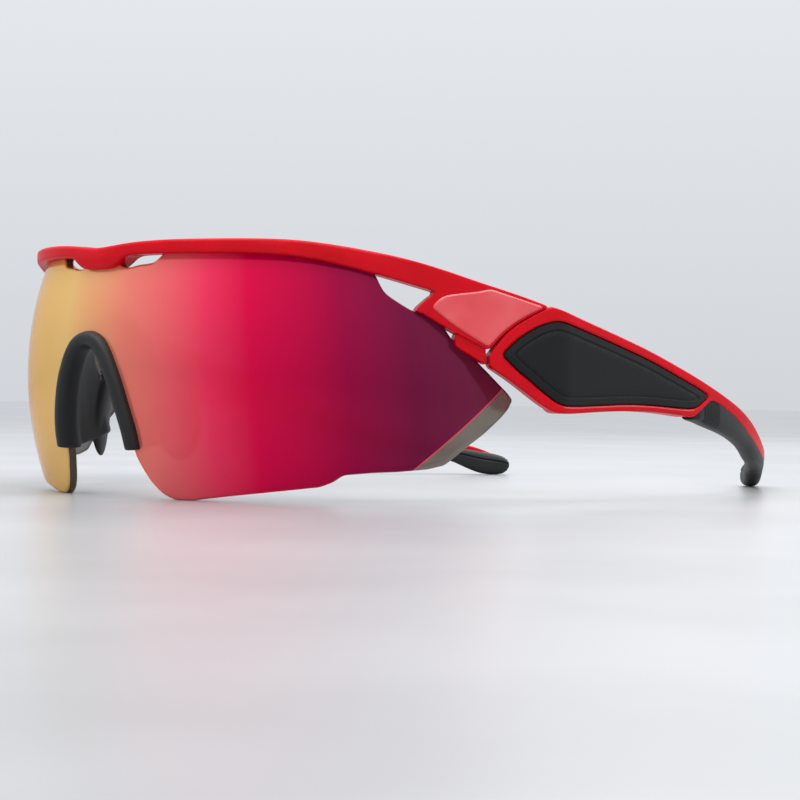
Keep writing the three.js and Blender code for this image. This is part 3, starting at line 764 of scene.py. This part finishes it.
def soft_rubber(tree):
    """Injection-moulded soft rubber: black, matt and slightly dusty, with grain about 0.5 mm."""
    here = add(tree, "TexCoord").outputs["Object"]
    grain = add(tree, "TexNoise", Vector=here, Scale=1 / 0.0005, Detail=2.0)
    dust = add(tree, "TexNoise", Vector=here, Scale=1 / 0.008, Detail=4.0)
    bump = add(tree, "Bump", Height=grain.outputs[0], Strength=0.2, Distance=0.00005)
    rough = add(tree, "MapRange", Value=dust.outputs[0], To_Min=0.42, To_Max=0.6)
    return {
        "Base_Color": add(tree, "ValToRGB", stops=[(0.3, "#101112"), (0.7, "#18191A")],
                          Fac=dust.outputs[0]).outputs[0],
        "Roughness": rough.outputs[0],
        "Normal": bump.outputs[0],
        "IOR": 1.5,
        "Specular_IOR_Level": 0.4,
    }


SOFT_RUBBER = finish_material("soft_rubber", soft_rubber)
for side_name, side in SIDES:
    tip = smooth_mesh(f"ear_tip_{side_name}_rubber", ear_tip_body(side), [SOFT_RUBBER])
    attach(tip, f"temple_{side_name}")
    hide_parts(f"ear_tip_{side_name}")


# ---- nose piece ---------------------------------------------------------------------------------
# One rubber moulding clips over the lens's nose notch: a rolled bead on the edge, a thin web back
# to the saddle behind the lens, and two soft pads turned to the sides of the nose.
NOTCH_HALF = [(0, 32.1), (2.8, 31.2), (4.3, 29.4), (5.5, 27.2), (7.3, 22.9), (8.7, 17.6),
              (9.6, 13.7), (9.9, 9.8)]
SADDLE_HALF = [(0, 36.0, -5.2), (4.5, 35.4, -5.4), (8.2, 32.6, -6.0), (10.2, 28.6, -7.2),
               (11.2, 24.5, -8.6), (12.2, 19, -10.2), (12.4, 12.5, -10.6)]
BEAD_HALF_WIDE, BEAD_OVER, BEAD_FRONT, BEAD_BACK = 1.7, 0.25, 2.0, -3.0
PAD_AT, PAD_SIZE, PAD_TURN = (12.6, 12.6, 17.6), (1.9, 4.5, 9.8), math.radians(38)
SADDLE_R, WEB_THICK, BRIDGE_CENTRE_Z = 2.3, 1.7, 14
PAD_SPLAY = math.sin(math.radians(7))
VOXEL = 0.00032


def along_line(points, count):
    """`count` points evenly along a line through these points, with its corners eased."""
    line = np.array(points, float)
    for _ in range(3):
        line = np.concatenate([line[:1], np.stack(
            [line[:-1] * 0.75 + line[1:] * 0.25, line[:-1] * 0.25 + line[1:] * 0.75], 1,
        ).reshape(-1, line.shape[1]), line[-1:]])
    run = np.concatenate([[0], np.cumsum(np.linalg.norm(np.diff(line, axis=0), axis=1))])
    places = np.linspace(0, run[-1], count)
    return np.stack([np.interp(places, run, c) for c in line.T], 1)


def capped(bm, rings):
    """Joins rings of vertices into a closed body."""
    for one, two in zip(rings, rings[1:]):
        bridge(bm, one, two)
    bm.faces.new(rings[0])
    bm.faces.new(rings[-1])


def nose_bead(bm):
    line = along_line(mirror_list(NOTCH_HALF), 70)
    mm_per_degree = LENS_RADIUS * math.radians(1)
    way = np.gradient(line, axis=0) * (mm_per_degree, 1)
    way /= np.linalg.norm(way, axis=1)[:, None]
    rings = []
    for k, ((degrees, z), (dx, dz)) in enumerate(zip(line, way)):
        ring = []
        for j in range(20):
            a = 2 * math.pi * j / 20
            wide = BEAD_HALF_WIDE * math.copysign(abs(math.cos(a)) ** 0.7, math.cos(a)) + BEAD_OVER
            deep = math.copysign(abs(math.sin(a)) ** 0.7, math.sin(a))
            out = (BEAD_FRONT + BEAD_BACK) / 2 + (BEAD_FRONT - BEAD_BACK) / 2 * deep
            ring.append(bm.verts.new(on_lens(
                degrees - dz * wide / mm_per_degree, z + dx * wide, out)))
        rings.append(ring)
    capped(bm, rings)


def nose_web(bm):
    """The web and the saddle's rolled rim behind it, as one section swept round the bridge."""
    edge = along_line(mirror_list(NOTCH_HALF), 60)
    back = along_line(mirror_list(SADDLE_HALF), 60)
    rings = []
    for (d0, z0), (d1, z1, out) in zip(edge, back):
        front, rear = on_lens(d0, z0, -1.6) * 1000, on_lens(d1, z1, out) * 1000
        run = rear - front
        up = run.cross(Vector((0, 1, 0)).cross(run)).normalized()
        side = Vector((front.x, 0, front.z - BRIDGE_CENTRE_Z)).normalized()
        thick = (side - side.project(run)).normalized() * WEB_THICK / 2
        ring = [front + thick, front + run * 0.5 + thick * 1.1, rear + thick * 2.3,
                rear + run.normalized() * SADDLE_R * 0.8, rear - thick * 1.3,
                front + run * 0.5 - thick, front - thick]
        rings.append([bm.verts.new(p / 1000) for p in ring])
    capped(bm, rings)


def nose_pad(bm, side):
    turned = bmesh.ops.create_uvsphere(bm, u_segments=28, v_segments=18, radius=1)["verts"]
    for v in turned:
        x, y, z = v.co
        lean = PAD_SIZE[0] * x * (1 + 0.25 * z) - 0.9 * z * z
        deep = PAD_SIZE[1] * y * (1 - 0.18 * z)
        px = lean * math.cos(PAD_TURN) + deep * math.sin(PAD_TURN)
        py = deep * math.cos(PAD_TURN) - lean * math.sin(PAD_TURN)
        tall = PAD_SIZE[2] * z
        px -= tall * PAD_SPLAY
        v.co = Vector((side * (PAD_AT[0] + px), PAD_AT[1] + py + BACK_MM, PAD_AT[2] + tall)) / 1000


nose_mesh = bmesh.new()
nose_bead(nose_mesh)
nose_web(nose_mesh)
for _, side in SIDES:
    nose_pad(nose_mesh, side)
nose = smooth_mesh("nose_piece_rubber", nose_mesh, [SOFT_RUBBER], sharp=180)
union = nose.modifiers.new("one_moulding", "REMESH")
union.mode, union.voxel_size, union.use_smooth_shade = "VOXEL", VOXEL, True
polish = nose.modifiers.new("polished_tool", "SMOOTH")
polish.factor, polish.iterations = 0.5, 8
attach(nose, "front")
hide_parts("nose_piece")


# ---- hinges and screws --------------------------------------------------------------------------
# Black nylon hinge blocks are screwed behind the end plates, pressed steel leaves inside the arms,
# and turned steel screws and core wires hold it all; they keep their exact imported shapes.
def machined_steel(tree):
    """Stainless steel, turned and tumbled: bright grey with fine streaks about 0.2 mm apart."""
    here = add(tree, "TexCoord").outputs["Object"]
    streaks = add(tree, "TexNoise", Vector=here, Scale=1 / 0.0002, Detail=2.0)
    rough = add(tree, "MapRange", Value=streaks.outputs[0], To_Min=0.24, To_Max=0.4)
    return {
        "Base_Color": add(tree, "ValToRGB", stops=[(0.3, "#A9ACB0"), (0.7, "#C4C7CA")],
                          Fac=streaks.outputs[0]).outputs[0],
        "Metallic": 1.0,
        "Roughness": rough.outputs[0],
    }


STEEL = finish_material("machined_stainless_steel", machined_steel)
CARRIED = {
    "hinge_block": BLACK_NYLON, "hinge_block_screw": STEEL, "hinge_screw": STEEL,
    "temple_hinge_leaf": STEEL, "leaf_screw": STEEL, "ear_core_wire": STEEL,
}


def refinish(node_name, finish):
    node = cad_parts[node_name]
    node.data.materials.clear()
    node.data.materials.append(finish)


for part_name, finish in CARRIED.items():
    for side_name, _ in SIDES:
        refinish(f"{part_name}_{side_name}", finish)
refinish("nose_core_wire", STEEL)
